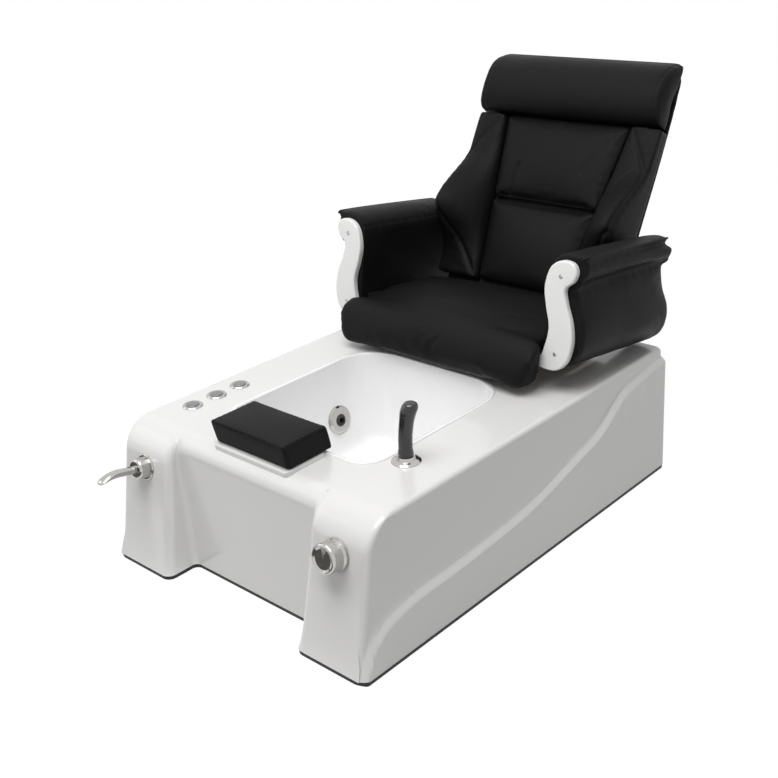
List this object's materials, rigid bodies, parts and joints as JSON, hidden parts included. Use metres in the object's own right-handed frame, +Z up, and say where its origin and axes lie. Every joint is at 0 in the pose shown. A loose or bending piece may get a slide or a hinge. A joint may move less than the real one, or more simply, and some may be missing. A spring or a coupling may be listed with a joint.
{
  "type": "pedicure spa chair",
  "caption": "Pedicure spa chair: reclining upholstered seat on slide rails over a moulded foot basin with mixer, jet, waste knob and hand shower.",
  "frame": {"origin": "on the floor, under the middle of the moulded base", "axes": "+Z up, the user faces -Y, +X is the side of the hand shower and the waste knob"},
  "size_m": [0.7598, 1.3935, 0.918],
  "materials": {
    "gelcoat": "glossy white gelcoat",
    "basin_gelcoat": "glossy white gelcoat",
    "cap_plastic": "satin gloss white",
    "white_plastic": "satin white",
    "black_board": "matt black",
    "black_plastic": "matt black",
    "button_plastic": "glossy grey",
    "shower_plastic": "glossy dark grey",
    "black_leather": "soft black grained leather",
    "chrome": "polished",
    "brass": "machined",
    "frame_steel": "black powder coat",
    "screw_steel": "zinc plated",
    "plywood": "raw birch plywood",
    "lined_board": "plywood wrapped in black lining cloth"
  },
  "bodies": {
    "base": {"base_shell": "gelcoat", "base_board": "black_board", "base_frame": "frame_steel", "rear_panel": "white_plastic", "panel_screws": "screw_steel", "water_inlets": "brass", "cable_gland": "black_plastic", "basin": "basin_gelcoat", "drain_flange": "chrome", "waste_pipe": "white_plastic", "jet_body": "chrome", "jet_motor": "black_plastic", "mixer_body": "brass", "mixer_escutcheon": "chrome", "knob_escutcheon": "chrome", "knob_housing": "black_plastic", "button_bodies": "chrome", "shower_socket": "chrome", "footrest_plinth": "gelcoat", "footrest_pad": "black_leather", "slide_rails": "screw_steel"},
    "seat_unit": {"slide_runners": "screw_steel", "seat_frame": "frame_steel", "seat_board": "plywood", "seat_cushion": "black_leather", "seat_front_roll": "black_leather", "arm_left": "black_leather", "arm_right": "black_leather", "arm_cap_left": "cap_plastic", "arm_cap_right": "cap_plastic", "cap_screws": "screw_steel", "hinge_pins": "screw_steel"},
    "backrest": {"back_board": "lined_board", "back_brackets": "frame_steel", "lumbar_pad": "black_leather", "upper_pad": "black_leather", "head_roll": "black_leather", "wing_left": "black_leather", "wing_right": "black_leather", "back_cover": "black_leather"},
    "mixer_turn": {"mixer_cap": "chrome"},
    "mixer_handle": {"mixer_lever": "chrome", "lever_pin": "screw_steel"},
    "waste_knob": {"drain_knob": "chrome"},
    "waste_plug": {"drain_plug": "chrome"},
    "nozzle": {"jet_nozzle": "black_plastic"},
    "button_front": {"push_button_front": "button_plastic"},
    "button_middle": {"push_button_middle": "button_plastic"},
    "button_rear": {"push_button_rear": "button_plastic"},
    "shower": {"hand_shower": "shower_plastic"}
  },
  "joints": [
    {"name": "seat_slide", "type": "slide", "parent": "base", "child": "seat_unit", "axis": [0, 1, 0], "range_m": [-0.06, 0.04]},
    {"name": "backrest_recline", "type": "hinge", "parent": "seat_unit", "child": "backrest", "pos_m": [0, 0.46374, 0.34876], "axis": [-1, 0, 0], "range_deg": [0, 15]},
    {"name": "mixer_temperature", "type": "hinge", "parent": "base", "child": "mixer_turn", "pos_m": [-0.286, -0.4893, 0.23], "axis": [0, -0.9824, 0.1867], "range_deg": [-50, 50]},
    {"name": "mixer_lift", "type": "hinge", "parent": "mixer_turn", "child": "mixer_handle", "pos_m": [-0.286, -0.52889, 0.23752], "axis": [-1, 0, 0], "range_deg": [0, 25]},
    {"name": "waste_turn", "type": "hinge", "parent": "base", "child": "waste_knob", "pos_m": [0.286, -0.4893, 0.23], "axis": [0, -0.9824, 0.1867], "range_deg": [0, 90]},
    {"name": "plug_lift", "type": "slide", "parent": "base", "child": "waste_plug", "axis": [0, 0, 1], "range_m": [0, 0.012]},
    {"name": "nozzle_turn", "type": "hinge", "parent": "base", "child": "nozzle", "pos_m": [-0.1848, -0.007, 0.18], "axis": [0.9823, 0, 0.1875], "range_deg": [0, 90]},
    {"name": "press_front", "type": "slide", "parent": "base", "child": "button_front", "axis": [0, 0, -1], "range_m": [0, 0.003], "stiffness_N_per_m": 600, "springref_m": -0.001},
    {"name": "press_middle", "type": "slide", "parent": "base", "child": "button_middle", "axis": [0, 0, -1], "range_m": [0, 0.003], "stiffness_N_per_m": 600, "springref_m": -0.001},
    {"name": "press_rear", "type": "slide", "parent": "base", "child": "button_rear", "axis": [0, 0, -1], "range_m": [0, 0.003], "stiffness_N_per_m": 600, "springref_m": -0.001},
    {"name": "shower_lift", "type": "slide", "parent": "base", "child": "shower", "axis": [0, 0, 1], "range_m": [0, 0.15]}
  ],
  "couplings": [
    {"joint": "plug_lift", "follows": "waste_turn", "m_per_rad": 0.0076}
  ]
}
